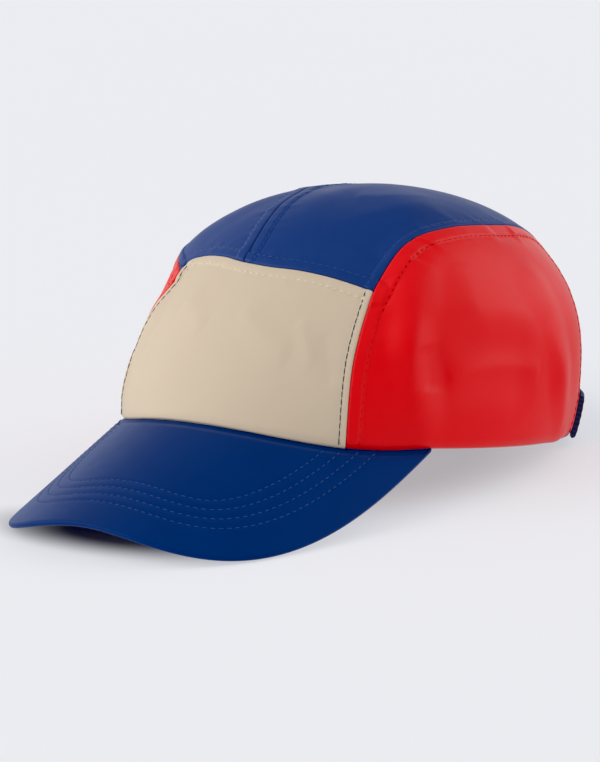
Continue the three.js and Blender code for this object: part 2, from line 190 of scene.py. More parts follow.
visor_top = visor_grid(VISOR_TOP_STEPS)
visor_under = visor_grid(VISOR_UNDER_STEPS)
visor_turn_in = visor_top[:, :1]
visor_out = unit(visor_top[:, :1] - visor_top[:, 1:2])
visor_drop = visor_down(visor_turn_in)
bend = np.linspace(math.pi / 2, -math.pi / 2, VISOR_ROUND_STEPS + 1)[None, 1:-1, None]
visor_bulge = np.cos(bend) * visor_out - np.sin(bend) * visor_drop
visor_round = visor_turn_in + VISOR_BOARD / 2 * (visor_drop + visor_bulge)
visor_lift_top = visor_lift(visor_top)[..., None]
visor_loop = np.concatenate(
    [
        (visor_top - visor_lift_top * visor_down(visor_top))[:, ::-1],
        visor_round,
        visor_under + (VISOR_BOARD + visor_lift(visor_under)[..., None]) * visor_down(visor_under),
    ],
    axis=1,
)


def linear(hex_colour):
    """An sRGB hex colour as the linear colour that a shader takes."""
    parts = [int(hex_colour[n : n + 2], 16) / 255 for n in (0, 2, 4)]
    return [p / 12.92 if p <= 0.04045 else ((p + 0.055) / 1.055) ** 2.4 for p in parts] + [1.0]


def feed(node, inputs):
    """Gives a node its inputs: values, or the sockets to link them to."""
    for name, value in inputs.items():
        if isinstance(value, bpy.types.NodeSocket):
            node.id_data.links.new(value, node.inputs[name])
        else:
            node.inputs[name].default_value = value


def add(tree, kind, inputs, **settings):
    """A new node with its settings and inputs."""
    made = tree.nodes.new(kind)
    for name, value in settings.items():
        setattr(made, name, value)
    feed(made, inputs)
    return made


def finish(name):
    """A new material: itself, its nodes and its shader."""
    material = bpy.data.materials.new(name)
    material.use_nodes = True
    return material, material.node_tree, material.node_tree.nodes["Principled BSDF"]


# Coated cloth: a plain weave under a thin matte polyurethane film. The film hides the yarns, so the
# eye gets an even colour with slow clouding, a fine pebbled grain and a soft broad sheen.
CLOUD_SIZE = 24.0
RUB_SIZE = 7.0
RUB_SPREAD = 0.06  # of roughness, where the film is rubbed more or less
GRAIN_SIZE = 0.8  # drawn about twice as coarse as the film's own grain, so that it shows
GRAIN_DEPTH = 0.15
FILM_PATTERNS = [(CLOUD_SIZE, 3.0), (RUB_SIZE, 4.0), (GRAIN_SIZE, 2.0)]  # with their detail


def coated_cloth(name, colour, shade, glance, sheen, roughness=0.45, gloss=0.05):
    material, tree, shader = finish(name)
    place = add(tree, "ShaderNodeTexCoord", {}).outputs["Object"]
    specks = [{"Vector": place, "Scale": 1 / (size * MM), "Detail": fine} for size, fine in FILM_PATTERNS]
    cloud, rub, grain = (add(tree, "ShaderNodeTexNoise", inputs).outputs["Fac"] for inputs in specks)
    tints = {"Factor": cloud, "A": linear(shade), "B": linear(colour)}
    tint = add(tree, "ShaderNodeMix", tints, data_type="RGBA")
    rubbed = {"Value": rub, "To Min": roughness - RUB_SPREAD, "To Max": roughness + RUB_SPREAD}
    dull = add(tree, "ShaderNodeMapRange", rubbed)
    pebble = add(tree, "ShaderNodeBump", {"Height": grain, "Strength": 0.12, "Distance": GRAIN_DEPTH * MM})
    feed(shader, {"Base Color": tint.outputs["Result"], "Normal": pebble.outputs["Normal"]})
    feed(shader, {"Roughness": dull.outputs["Result"], "Specular IOR Level": gloss, "IOR": 1.5})
    feed(shader, {"Specular Tint": linear(glance), "Sheen Tint": linear(glance)})
    feed(shader, {"Sheen Weight": sheen, "Sheen Roughness": 0.35})
    return material


UV_SPAN = 400.0  # millimetres of cloth that fill the UV square
SHARP_ANGLE = 60 * DEGREES


def worn(name, mesh):
    """An object for a finished mesh, riding on the cap's one body."""
    piece = bpy.data.objects.new(name, mesh)
    bpy.context.scene.collection.objects.link(piece)
    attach(piece, "root")
    return piece


def made_piece(name, points, faces, uv, material, node):
    """A finished piece from points of the cap's own frame, in place of the node named."""
    mesh = bpy.data.meshes.new(name)
    mesh.from_pydata(stand(points).tolist(), [], faces)
    mesh.materials.append(material)
    mesh.polygons.foreach_set("use_smooth", np.ones(len(mesh.polygons), dtype=bool))
    corners = np.zeros(len(mesh.loops), dtype=np.int32)
    mesh.loops.foreach_get("vertex_index", corners)
    layer = mesh.uv_layers.new(name="cloth")
    layer.data.foreach_set("uv", (uv[corners] / UV_SPAN).astype(np.float32).ravel())
    mesh.set_sharp_from_angle(angle=SHARP_ANGLE)
    piece = worn(name, mesh)
    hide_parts(node)
    return piece


def tube_faces(rings, size):
    """Faces of a tube of rings, capped at both ends. They point outwards where the rings turn
    clockwise along it."""
    here = (np.arange(rings - 1)[:, None] * size + np.arange(size)[None, :]).ravel()
    after = (np.arange(rings - 1)[:, None] * size + np.roll(np.arange(size), -1)[None, :]).ravel()
    sides = np.stack([here, after, after + size, here + size], axis=1).tolist()
    return sides + [list(range(size))[::-1], list(range((rings - 1) * size, rings * size))]


visor_rings, visor_ring_size = visor_loop.shape[:2]
visor_lengths = np.linalg.norm(np.diff(visor_loop, axis=1), axis=-1).cumsum(axis=1)
visor_uv = np.stack(
    [
        np.broadcast_to(visor_even[:, None], visor_loop.shape[:2]),
        np.concatenate([np.zeros((visor_rings, 1)), visor_lengths], axis=1),
    ],
    axis=-1,
)
visor_blue = coated_cloth(
    "coated_cloth_visor_blue", "0B3474", "092E6A", glance="B4C8FF", sheen=0.27, gloss=0.1
)
made_piece(
    "visor_cover",
    visor_loop.reshape(-1, 3),
    tube_faces(visor_rings, visor_ring_size),
    visor_uv.reshape(-1, 2),
    visor_blue,
    "visor",
)


# Visor thread
# Bonded polyester thread in four rows through the visor, a shade lighter than its cover, and lighter
# still by a painted highlight that stands for the glints on its stitches. Each stitch shows as one short
# cord that dips into the cloth at both ends.
STITCH_LENGTH = 1.9
THREAD_WIDTH = 0.5
THREAD_HEIGHT = 0.36
THREAD_TURN = 4 * DEGREES  # stitches lie a little askew of their row
THREAD_SUNK = 0.4  # share of the groove's depth that the thread lies below the cloth
STITCH_SEED = 7
ROW_STOP = 1.01  # the visor's rows end just outside the rim, in shares of the rim's size squared


def stitch_tree():
    """Geometry nodes that lay stitches along a mesh's edges, flat on the cloth that out faces."""
    tree = bpy.data.node_groups.new("stitch_row", "GeometryNodeTree")
    measures = ("Pitch", "Stitch length", "Thread width", "Thread height", "Askew")
    sockets = [("Rows", "NodeSocketGeometry"), ("Thread", "NodeSocketMaterial")]
    sockets += [(name, "NodeSocketFloat") for name in measures]
    for name, kind in sockets:
        tree.interface.new_socket(name, in_out="INPUT", socket_type=kind)
    tree.interface.new_socket("Stitches", in_out="OUTPUT", socket_type="NodeSocketGeometry")
    given = add(tree, "NodeGroupInput", {}).outputs
    curve = add(tree, "GeometryNodeMeshToCurve", {"Mesh": given["Rows"]})
    spaced = {"Curve": curve.outputs["Curve"], "Length": given["Pitch"]}
    row = add(tree, "GeometryNodeResampleCurve", spaced, mode="LENGTH")
    ball = add(tree, "GeometryNodeMeshUVSphere", {"Segments": 6, "Rings": 5, "Radius": 0.5})
    soft = add(tree, "GeometryNodeSetShadeSmooth", {"Geometry": ball.outputs["Mesh"]})
    sizes = {"X": given["Thread height"], "Y": given["Thread width"], "Z": given["Stitch length"]}
    size = add(tree, "ShaderNodeCombineXYZ", sizes)
    lying = {"Geometry": soft.outputs["Geometry"], "Scale": size.outputs["Vector"]}
    stitch = add(tree, "GeometryNodeTransform", lying)
    stitch.inputs["Rotation"].default_value = (0, 90 * DEGREES, 0)
    way = add(tree, "GeometryNodeInputTangent", {})
    out = add(tree, "GeometryNodeInputNamedAttribute", {"Name": "out"}, data_type="FLOAT_VECTOR")
    facing = add(tree, "FunctionNodeAlignRotationToVector", {"Vector": way.outputs["Tangent"]}, axis="X")
    upright = {"Rotation": facing.outputs["Rotation"], "Vector": out.outputs["Attribute"]}
    flat = add(tree, "FunctionNodeAlignRotationToVector", upright, axis="Z", pivot_axis="X")
    least = add(tree, "ShaderNodeMath", {0: given["Askew"], 1: -1.0}, operation="MULTIPLY")
    swing = add(tree, "FunctionNodeRandomValue", {"Seed": STITCH_SEED}, data_type="FLOAT")
    tree.links.new(least.outputs["Value"], swing.inputs[2])
    tree.links.new(given["Askew"], swing.inputs[3])
    yaw = add(tree, "FunctionNodeAxisAngleToRotation", {"Axis": (0, 0, 1), "Angle": swing.outputs[1]})
    turned = {"Rotation": flat.outputs["Rotation"], "Rotate By": yaw.outputs["Rotation"]}
    askew = add(tree, "FunctionNodeRotateRotation", turned, rotation_space="LOCAL")
    many = {"Points": row.outputs["Curve"], "Instance": stitch.outputs["Geometry"]}
    many["Rotation"] = askew.outputs["Rotation"]
    laid = add(tree, "GeometryNodeInstanceOnPoints", many)
    real = add(tree, "GeometryNodeRealizeInstances", {"Geometry": laid.outputs["Instances"]})
    wound = {"Geometry": real.outputs["Geometry"], "Material": given["Thread"]}
    coloured = add(tree, "GeometryNodeSetMaterial", wound)
    add(tree, "NodeGroupOutput", {"Stitches": coloured.outputs["Geometry"]})
    return tree


STITCH_TREE = stitch_tree()


def stitched(name, rows, material, length=STITCH_LENGTH, width=THREAD_WIDTH):
    """One piece of thread: rows are pairs of points and of the ways that the cloth faces there."""
    points = np.concatenate([row[0] for row in rows])
    facing = np.concatenate([row[1] for row in rows])
    starts = np.cumsum([0] + [len(row[0]) for row in rows])
    edges = [(n, n + 1) for a, b in zip(starts[:-1], starts[1:]) for n in range(a, b - 1)]
    mesh = bpy.data.meshes.new(name + "_rows")
    mesh.from_pydata(stand(points).tolist(), edges, [])
    out = mesh.attributes.new("out", "FLOAT_VECTOR", "POINT")
    out.data.foreach_set("vector", (facing @ TURN.T).astype(np.float32).ravel())
    guide = bpy.data.objects.new(name + "_rows", mesh)
    bpy.context.scene.collection.objects.link(guide)
    modifier = guide.modifiers.new("stitches", "NODES")
    modifier.node_group = STITCH_TREE
    values = {"Pitch": STITCH_PITCH * MM, "Stitch length": length * MM, "Thread width": width * MM}
    values.update({"Thread height": THREAD_HEIGHT * MM, "Askew": THREAD_TURN, "Thread": material})
    for item in STITCH_TREE.interface.items_tree:
        if item.name in values:
            modifier[item.identifier] = values[item.name]
    graph = bpy.context.evaluated_depsgraph_get()
    thread = bpy.data.meshes.new_from_object(guide.evaluated_get(graph), depsgraph=graph)
    thread.name = name
    bpy.data.objects.remove(guide)
    return worn(name, thread)


# Bonded polyester thread: smooth, tightly twisted and a little glossier than the cloth round it.
THREAD_PLY = 0.5
THREAD_PLY_DEPTH = 0.1


def thread_finish(name, colour, shade, gloss=0.3, sheen=0.0):
    material, tree, shader = finish(name)
    place = add(tree, "ShaderNodeTexCoord", {}).outputs["Object"]
    plies = {"Vector": place, "Scale": 1 / (THREAD_PLY * MM), "Detail": 1.0}
    ply = add(tree, "ShaderNodeTexNoise", plies).outputs["Fac"]
    tints = {"Factor": ply, "A": linear(shade), "B": linear(colour)}
    tint = add(tree, "ShaderNodeMix", tints, data_type="RGBA")
    twist = add(tree, "ShaderNodeBump", {"Height": ply, "Strength": 0.3, "Distance": THREAD_PLY_DEPTH * MM})
    feed(shader, {"Base Color": tint.outputs["Result"], "Normal": twist.outputs["Normal"]})
    feed(shader, {"Roughness": 0.45, "Specular IOR Level": gloss, "Sheen Weight": sheen, "IOR": 1.5})
    return material


def visor_stitch_rows():
    """The rows on both faces of the visor, as far as the crown covers it."""
    fine = visor_grid(VISOR_TOP_STEPS)
    away = measured(visor_edge, fine.reshape(-1, 3))[0].reshape(fine.shape[:2])
    rows = []
    for distance in VISOR_ROWS:
        reached = np.flatnonzero(away.max(axis=1) > distance)
        line = [[np.interp(distance, away[i], fine[i, :, k]) for k in range(3)] for i in reached]
        line = np.array(line)
        outside = (line[:, 0] / RIM_WIDE) ** 2 + (line[:, 1] / RIM_LONG) ** 2 > ROW_STOP
        line = line[outside]
        down = visor_down(line)
        sunk = VISOR_GROOVE * THREAD_SUNK
        rows.append((line + sunk * down, -down))
        rows.append((line + (VISOR_BOARD - sunk) * down, down))
    return rows


# Its light blue is partly the thread's own colour and partly a painted highlight for the stitches' glints.
visor_thread = thread_finish("polyester_thread_blue", "2E5496", "26488A", gloss=0.1, sheen=0.05)
stitched("visor_thread", visor_stitch_rows(), visor_thread)


# Front panel
# One piece of sand-coloured coated cloth over the forehead. Its sides and top are sewn to the
# side and top panels, its allowances are turned in and top-stitched, and its foot stands on the visor.
CROWN_HEIGHT = 97.4
CLOTH = 1.5
TOP_BACK = 9.4  # top of the crown behind the rim's middle
TOP_SLOPE = 0.026  # the top falls this much towards the front
# angle from the front, rise and lean of the wall's handle, reach of the flat top
SECTIONS = np.array(
    [
        (0, 57.0, 18.8, 0.479),
        (25, 58.4, 15.2, 0.484),
        (45, 62.5, 5.9, 0.514),
        (65, 69.6, -5.1, 0.607),
        (90, 71.2, -12.3, 0.621),
        (120, 72.1, -18.0, 0.636),
        (180, 72.4, -18.7, 0.638),
    ]
)
RISE, LEAN, REACH = 1, 2, 3

# Seams on a plan of the crown where the rim is the unit circle and the top its middle:
# across is to the wearer's left and back is towards the back of the head.
FRONT_SEAM = [
    (-0.434, -0.447),
    (-0.408, -0.416),
    (-0.328, -0.447),
    (-0.2, -0.504),
    (-0.076, -0.546),
    (0.06, -0.556),
    (0.2, -0.529),
    (0.336, -0.484),
    (0.451, -0.435),
]
LEFT_SIDE_SEAM = [(0.451, -0.435), (0.545, -0.61), (0.664, -0.748)]
RIGHT_SIDE_SEAM = [
    (-0.434, -0.447),
    (-0.456, -0.492),
    (-0.51, -0.521),
    (-0.58, -0.556),
    (-0.664, -0.61),
    (-0.748, -0.664),
]

# Soft bends and dents of the cloth: a line on the plan, its half width there, and how far the
# cloth stands out or sinks in along it. Those of the left side come first.
FOLDS = [
    ((0.45, -0.28), (0.64, -0.43), 0.11, 1.3),
    ((0.64, -0.43), (0.84, -0.46), 0.1, 0.9),
    ((0.745, -0.34), (0.825, -0.05), 0.14, -2.2),
    ((0.62, 0.09), (0.83, 0.21), 0.1, 1.1),
    ((0.83, 0.21), (0.93, 0.36), 0.1, 0.8),
    ((0.42, 0.36), (0.65, 0.5), 0.17, -1.25),
    ((-0.62, -0.34), (-0.695, -0.485), 0.15, -3.3),
    ((-0.5, -0.54), (-0.58, -0.62), 0.1, 1.3),
    ((-0.66, -0.6), (-0.675, -0.635), 0.07, 1.2),
    ((-0.14, -0.06), (-0.34, -0.14), 0.2, -0.8),
]

# Creases, too fine for the solid: points of a line on the plan, its half width there, and how far
# the cloth stands out or sinks in along it. They are those of the side, the top and the front.
CREASES = [
    (
        [(0.475, -0.33), (0.57, -0.365), (0.66, -0.436), (0.73, -0.487), (0.8, -0.5), (0.88, -0.465)],
        0.13,
        1.2,
    ),
    ([(0.68, -0.383), (0.735, -0.403), (0.778, -0.423)], 0.08, -0.8),
    ([(0.788, -0.347), (0.808, -0.231), (0.834, -0.037), (0.84, 0.067)], 0.055, 0.9),
    ([(0.731, 0.1), (0.804, 0.163), (0.847, 0.197), (0.888, 0.253), (0.925, 0.321)], 0.08, 0.8),
    ([(0.525, -0.158), (0.606, -0.173), (0.678, -0.179), (0.73, -0.125)], 0.09, 0.4),
    ([(0.47, -0.275), (0.422, -0.205)], 0.07, -0.8),
    ([(0.428, 0.03), (0.412, 0.125)], 0.06, -0.7),
    ([(0.15, -0.39), (0.208, -0.269), (0.24, -0.17), (0.27, -0.04)], 0.12, 0.6),
    ([(0.34, -0.08), (0.33, -0.26), (0.34, -0.38)], 0.12, -0.6),
    ([(0.087, -0.18), (0.16, -0.13), (0.22, 0.0)], 0.08, 0.4),
    ([(-0.3, -0.62), (-0.2, -0.69), (-0.11, -0.75)], 0.07, 0.55),
    ([(0.04, -0.7), (0.19, -0.74), (0.33, -0.745)], 0.07, 0.6),
    ([(0.3, -0.64), (0.36, -0.68), (0.43, -0.71)], 0.05, 0.5),
    ([(0.4, -0.62), (0.46, -0.66), (0.52, -0.7)], 0.06, -0.5),
]
CREASE_STEPS = np.linspace(0, 1, 48)
CREASE_TIP = 0.15  # its rounding, as a share of its half width
CREASE_END = 0.25  # share of its length over which it dies away at each end
CREASE_RIM = 0.05  # and where it nears the rim


def section_value(column, angle):
    """A smooth curve through one column of the sections, level at the front and at the back."""
    knots = SECTIONS[:, 0]
    values = SECTIONS[:, column]
    slopes = np.zeros(len(knots))
    slopes[1:-1] = (values[2:] - values[:-2]) / (knots[2:] - knots[:-2])
    i = np.clip(np.searchsorted(knots, angle) - 1, 0, len(knots) - 2)
    span = knots[i + 1] - knots[i]
    t = (angle - knots[i]) / span
    ends = (1 + 2 * t) * (1 - t) ** 2 * values[i] + (3 - 2 * t) * t**2 * values[i + 1]
    return ends + span * t * (1 - t) * ((1 - t) * slopes[i] - t * slopes[i + 1])


def rim_height(x, y, angle):
    """The rim follows the visor at the front and the surface behind the heel line."""
    heel = np.maximum(0, y - HEEL_BACK) * math.tan(TILT)
    return np.where(np.abs(angle) < VISOR_ANGLE, visor_height(x, y), heel)


def crown_form(across, back):
    """The crown's smooth outside: a curve from the rim's foot over wall and shoulder to the top."""
    angle = np.arctan2(across, -back)
    turn = np.abs(angle) / DEGREES
    x = RIM_WIDE * np.sin(angle)
    y = -RIM_LONG * np.cos(angle)
    out = np.stack([x, y - TOP_BACK], axis=-1)
    lean = unit(out) * section_value(LEAN, turn)[..., None]
    flat = out * section_value(REACH, turn)[..., None]
    foot = np.stack([x, y, rim_height(x, y, angle)], axis=-1)
    wall = np.stack([x - lean[..., 0], y - lean[..., 1], section_value(RISE, turn)], axis=-1)
    height = CROWN_HEIGHT + TOP_SLOPE * flat[..., 1]
    shoulder = np.stack([flat[..., 0], TOP_BACK + flat[..., 1], height], axis=-1)
    top = np.array([0, TOP_BACK, CROWN_HEIGHT])
    t = (1 - np.hypot(across, back))[..., None]
    return (1 - t) ** 3 * foot + 3 * t * (1 - t) ** 2 * wall + 3 * t**2 * (1 - t) * shoulder + t**3 * top


PLAN_STEP = 0.002  # for slopes on the plan


def crown_slopes(across, back):
    side = crown_form(across + PLAN_STEP, back) - crown_form(across - PLAN_STEP, back)
    rear = crown_form(across, back + PLAN_STEP) - crown_form(across, back - PLAN_STEP)
    return side / (2 * PLAN_STEP), rear / (2 * PLAN_STEP)


def crown_normal(across, back):
    return unit(np.cross(*crown_slopes(across, back)))


def fold_depth(across, back):
    place = np.stack([across, back], axis=-1)
    depth = np.zeros(np.shape(across))
    for start, end, half, out in FOLDS:
        step = np.subtract(end, start)
        share = np.clip((place - start) @ step / (step @ step), 0, 1)
        away = np.linalg.norm(place - start - share[..., None] * step, axis=-1) / half
        depth += out * (1 + np.cos(math.pi * np.minimum(1, away))) / 2
    return depth


def spline(rows, t):
    """Points of the Catmull-Rom curve through the rows, for t from 0 to 1."""
    rows = np.array(rows)
    last = len(rows) - 1
    i = np.minimum((t * last).astype(int), last - 1)
    w = (t * last - i)[:, None]
    before, here, after, beyond = (rows[np.clip(i + n, 0, last)] for n in (-1, 0, 1, 2))
    leave = (after - before) / 2
    arrive = (beyond - here) / 2
    cubic = 2 * here - 2 * after + leave + arrive
    return cubic * w**3 + (3 * after - 3 * here - 2 * leave - arrive) * w**2 + leave * w + here


def crease_depth(across, back):
    place = np.stack([across, back], axis=-1)
    depth = np.zeros(len(place))
    for rows, half, out in CREASES:
        gaps = np.linalg.norm(place[:, None] - spline(rows, CREASE_STEPS), axis=-1)
        along = CREASE_STEPS[gaps.argmin(axis=1)]
        ends = np.sin(math.pi / 2 * np.clip(np.minimum(along, 1 - along) / CREASE_END, 0, 1))
        away = np.minimum(1, np.hypot(gaps.min(axis=1) / half, CREASE_TIP) - CREASE_TIP)
        depth += out * ends * (1 - away) ** 2
    return depth * np.clip((1 - np.hypot(across, back)) / CREASE_RIM, 0, 1)


def rim_arc(start, end, t):
    angle = start + (end - start) * t
    return np.stack([np.sin(angle), -np.cos(angle)], axis=-1)


def angle_of(row):
    return math.atan2(row[0], -row[1])


FINE = np.linspace(0, 1, 900)
RIM_FINE = np.linspace(0, 1, 2400)
ON_RIM = 1 - 1e-6  # a point of the plan this far out is on the rim


def seam_on_crown(plan):
    return {"plan": plan, **line_of(crown_form(*plan.T))}


seams = {
    "front": seam_on_crown(spline(FRONT_SEAM, FINE)),
    "left_side": seam_on_crown(spline(LEFT_SIDE_SEAM, FINE)),
    "right_side": seam_on_crown(spline(RIGHT_SIDE_SEAM, FINE)),
    "rim": seam_on_crown(rim_arc(-math.pi, math.pi, RIM_FINE)),
}

# Work on the cloth along its edges
ROLL = 1.0  # radius of the cloth's turn down into a seam or under at the rim
PLY = 0.5  # raised by the allowances under it, as far as the stitches
PLY_PAST = 0.9  # allowances run on past the stitches
ROW_DEPTH = 0.4
PUCKER = 0.08  # waves that the stitches draw up along a seam
PUCKER_WAVES = [(6.1, 0.4), (9.7, 2.1), (15.3, 4.4)]  # wave length, phase
PUCKER_REACH = 4.5
PUCKER_START = 2.0  # they die away this near the seam
HEM_CURL = 2.0  # cloth turned under along the rim
HEM_REACH = 4.5
HEM_LIFT = 0.5  # the crown's edge stands off the visor, to which it is sewn further in
LIFT_REACH = 3.0
LIFT_FADE = 4 * DEGREES  # before the visor's ends


def edge_roll(away):
    """How far an edge's round turn lies below the cloth."""
    return ROLL * (1 - np.sqrt(1 - np.clip(1 - away / ROLL, 0, 1) ** 2))


def seam_relief(away, along, rows):
    """Height of the cloth beside a seam that has rows of stitches beside it."""
    edge = np.clip((max(rows) + PLY_PAST - away) / PLY_PAST, 0, 1)
    ply = PLY * edge**2 * (3 - 2 * edge)
    wave = sum(np.sin(2 * math.pi * along / length + phase) for length, phase in PUCKER_WAVES)
    near = np.exp(-(((away - max(rows)) / PUCKER_REACH) ** 2)) * np.clip(away / PUCKER_START, 0, 1)
    return ply - edge_roll(away) + row_groove(away, along, rows, ROW_DEPTH) + PUCKER * wave * near / 2


def crown_skin(plan, sewn, curl):
    """Outside and inside of the cloth at points of the plan. sewn pairs each seam with its rows of
    stitches, and curl is the share of the hem's turn that this panel has along the rim."""
    across, back = plan.T
    form = crown_form(across, back)
    normal = crown_normal(across, back)
    fold = fold_depth(across, back) + crease_depth(across, back)
    relief = np.zeros(len(plan))
    thick = np.full(len(plan), CLOTH)
    for seam, rows in sewn:
        away, along = measured(seams[seam], form)
        relief += seam_relief(away, along, rows)
        thick += PLY * np.clip((max(rows) + PLY_PAST - away) / PLY_PAST, 0, 1)
    level = unit(normal * (1, 1, 0))
    away = measured(seams["rim"], form)[0]
    turned = curl * HEM_CURL * np.clip(1 - away / HEM_REACH, 0, 1) ** 2
    over_visor = np.clip((VISOR_ANGLE - np.abs(np.arctan2(across, -back))) / LIFT_FADE, 0, 1)
    lifted = HEM_LIFT * over_visor * np.clip(1 - away / LIFT_REACH, 0, 1) ** 2
    upwards = unit((0, 0, 1) - normal * normal[:, 2:])
    moved = form + normal * fold[:, None] - level * turned[:, None] + upwards * lifted[:, None]
    outside = moved + normal * relief[:, None] - level * edge_roll(away)[:, None]
    inside = moved - normal * thick[:, None]
    on_rim = np.hypot(across, back) > ON_RIM
    inside[on_rim] = (outside - level * CLOTH)[on_rim]
    return outside, inside, normal


EDGE_STEP = 0.16
STEP_GROWTH = 1.3
FINE_STEP = 0.55
COARSE_STEP = 0.85
FINE_MARGIN = 8.0
MARGIN_STEPS = 23  # more than fill the margin


def graded(length):
    """Shares along an edge of that length, closer together near both of its ends."""
    steps = np.minimum(FINE_STEP, EDGE_STEP * STEP_GROWTH ** np.arange(MARGIN_STEPS))
    margin = np.concatenate([[0.0], np.cumsum(steps)])
    margin = margin[margin < FINE_MARGIN - FINE_STEP / 2]
    count = max(2, round((length - 2 * FINE_MARGIN) / COARSE_STEP))
    middle = np.linspace(FINE_MARGIN, length - FINE_MARGIN, count + 1)
    return np.concatenate([margin, middle, (length - margin)[::-1]]) / length


def sheet_faces(rows, columns):
    """Faces of a closed sheet of two grids of points, outside first, whose rows run up and whose
    columns run to the right."""
    half = rows * columns
    a = (np.arange(rows - 1)[:, None] * columns + np.arange(columns - 1)[None, :]).ravel()
    outside = np.stack([a, a + 1, a + columns + 1, a + columns], axis=1)
    inside = half + outside[:, ::-1]
    border = np.concatenate(
        [
            np.arange(columns - 1),
            np.arange(rows - 1) * columns + columns - 1,
            (rows - 1) * columns + np.arange(columns - 1, 0, -1),
            np.arange(rows - 1, 0, -1) * columns,
        ]
    )
    onwards = np.roll(border, -1)
    edge = np.stack([border, half + border, half + onwards, onwards], axis=1)
    return np.concatenate([outside, inside, edge]).tolist()


def turned_over(edges):
    """The edges of a panel on the other side of the cap, as they run when seen from outside."""
    bottom, top, left, right = edges
    return lambda t: bottom(t)[::-1], lambda t: top(t)[::-1], right, left


def crown_panel(name, edges, size, sewn, curl, material, node):
    """A cloth panel between four edges on the plan. Each edge gives plan points for shares of its
    length: bottom and top run to the right, left and right run up, as seen from outside. size is
    its width and height."""
    s = graded(size[0])
    t = graded(size[1])
    bottom, top, left, right = edges
    low, high, near, far = bottom(s), top(s), left(t), right(t)
    up = t[:, None, None]
    over = s[None, :, None]
    plan = (1 - up) * low[None] + up * high[None] + (1 - over) * near[:, None] + over * far[:, None]
    plan -= (1 - up) * ((1 - over) * low[0] + over * low[-1])
    plan -= up * ((1 - over) * high[0] + over * high[-1])
    outside, inside, _ = crown_skin(plan.reshape(-1, 2), sewn, curl)
    flat = np.stack(np.meshgrid(s * size[0], t * size[1]), axis=-1).reshape(-1, 2)
    points = np.concatenate([outside, inside])
    faces = sheet_faces(len(t), len(s))
    return made_piece(name, points, faces, np.concatenate([flat, flat]), material, node)


front_foot = {"left": angle_of(LEFT_SIDE_SEAM[-1]), "right": angle_of(RIGHT_SIDE_SEAM[-1])}
front_edges = (
    lambda t: rim_arc(front_foot["right"], front_foot["left"], t),
    lambda t: spline(FRONT_SEAM, t),
    lambda t: spline(RIGHT_SIDE_SEAM, 1 - t),
    lambda t: spline(LEFT_SIDE_SEAM, 1 - t),
)
FRONT_ROW = 4.6  # stitches below the front panel's top seam
FRONT_SIDE_ROW = 2.8  # and beside its side seams
FRONT_SIZE = (112, 62)
FRONT_CURL = 0.5
FRONT_SIDES = ("left_side", "right_side")
front_sewn = [("front", [FRONT_ROW])] + [(seam, [FRONT_SIDE_ROW]) for seam in FRONT_SIDES]
sand = coated_cloth("coated_cloth_sand", "D6C5AE", "D2C0A8", glance="FFFFFF", sheen=0.04)
crown_panel(
    "front_cloth", front_edges, FRONT_SIZE, front_sewn, FRONT_CURL, sand, "front_panel"
)


NEVER_ZERO = 1e-12


def inside_of(outline, plan):
    """Which points of the plan lie within a closed outline."""
    ahead = np.roll(outline, -1, axis=0)
    crossings = np.zeros(len(plan), dtype=int)
    for (x0, y0), (x1, y1) in zip(outline, ahead):
        spans = (y0 > plan[:, 1]) != (y1 > plan[:, 1])
        reach = x0 + (plan[:, 1] - y0) / (y1 - y0 + NEVER_ZERO) * (x1 - x0)
        crossings += spans & (plan[:, 0] < reach)
    return crossings % 2 == 1


OUTLINE_STEPS = np.linspace(0, 1, 80)
ROW_MOVES = 6
ROW_END = 0.015  # rows stop short of the rim, on the plan
ROW_ON = np.arange(1, 61)[:, None]  # steps that a row can run on past the ends of its seam


def row_beside(seam, distance, edges, sewn):
    """A row of stitches on a panel that keeps its distance from one of the panel's seams: its
    points, and the way out there."""
    bottom, top, left, right = (edge(OUTLINE_STEPS) for edge in edges)
    outline = np.concatenate([bottom[:-1], right[:-1], top[:0:-1], left[:0:-1]])
    line = seams[seam]["plan"]
    before = line[0] + (line[0] - line[1]) * ROW_ON[::-1]
    after = line[-1] + (line[-1] - line[-2]) * ROW_ON
    best = None
    for side in (1, -1):
        plan = np.concatenate([before, line, after])
        for _ in range(ROW_MOVES):
            across, rear = crown_slopes(*plan.T)
            tangent = np.gradient(crown_form(*plan.T), axis=0)
            step = unit(np.cross(np.cross(across, rear), tangent)) * side * distance / ROW_MOVES
            aa, ar, rr = (across * across).sum(1), (across * rear).sum(1), (rear * rear).sum(1)
            sa, sr = (step * across).sum(1), (step * rear).sum(1)
            plan += np.stack([sa * rr - sr * ar, sr * aa - sa * ar], axis=1) / (aa * rr - ar * ar)[:, None]
        plan = plan[inside_of(outline, plan) & (np.hypot(*plan.T) < 1 - ROW_END)]
        best = plan if best is None or len(plan) > len(best) else best
    outside, _, normal = crown_skin(best, sewn, curl=0.0)
    return outside, normal


front_row = row_beside("front", FRONT_ROW, front_edges, front_sewn)
sand_thread = thread_finish("polyester_thread_sand", "EDE4D0", "E0D4BA")
stitched("front_thread", [front_row], sand_thread)
FRONT_SIDE_STITCH = 2.9
FRONT_SIDE_THREAD = 0.42
front_side_rows = [row_beside(seam, FRONT_SIDE_ROW, front_edges, front_sewn) for seam in FRONT_SIDES]
navy_thread = thread_finish("polyester_thread_navy", "1B2342", "131932")
stitched("front_side_thread", front_side_rows, navy_thread, FRONT_SIDE_STITCH, FRONT_SIDE_THREAD)


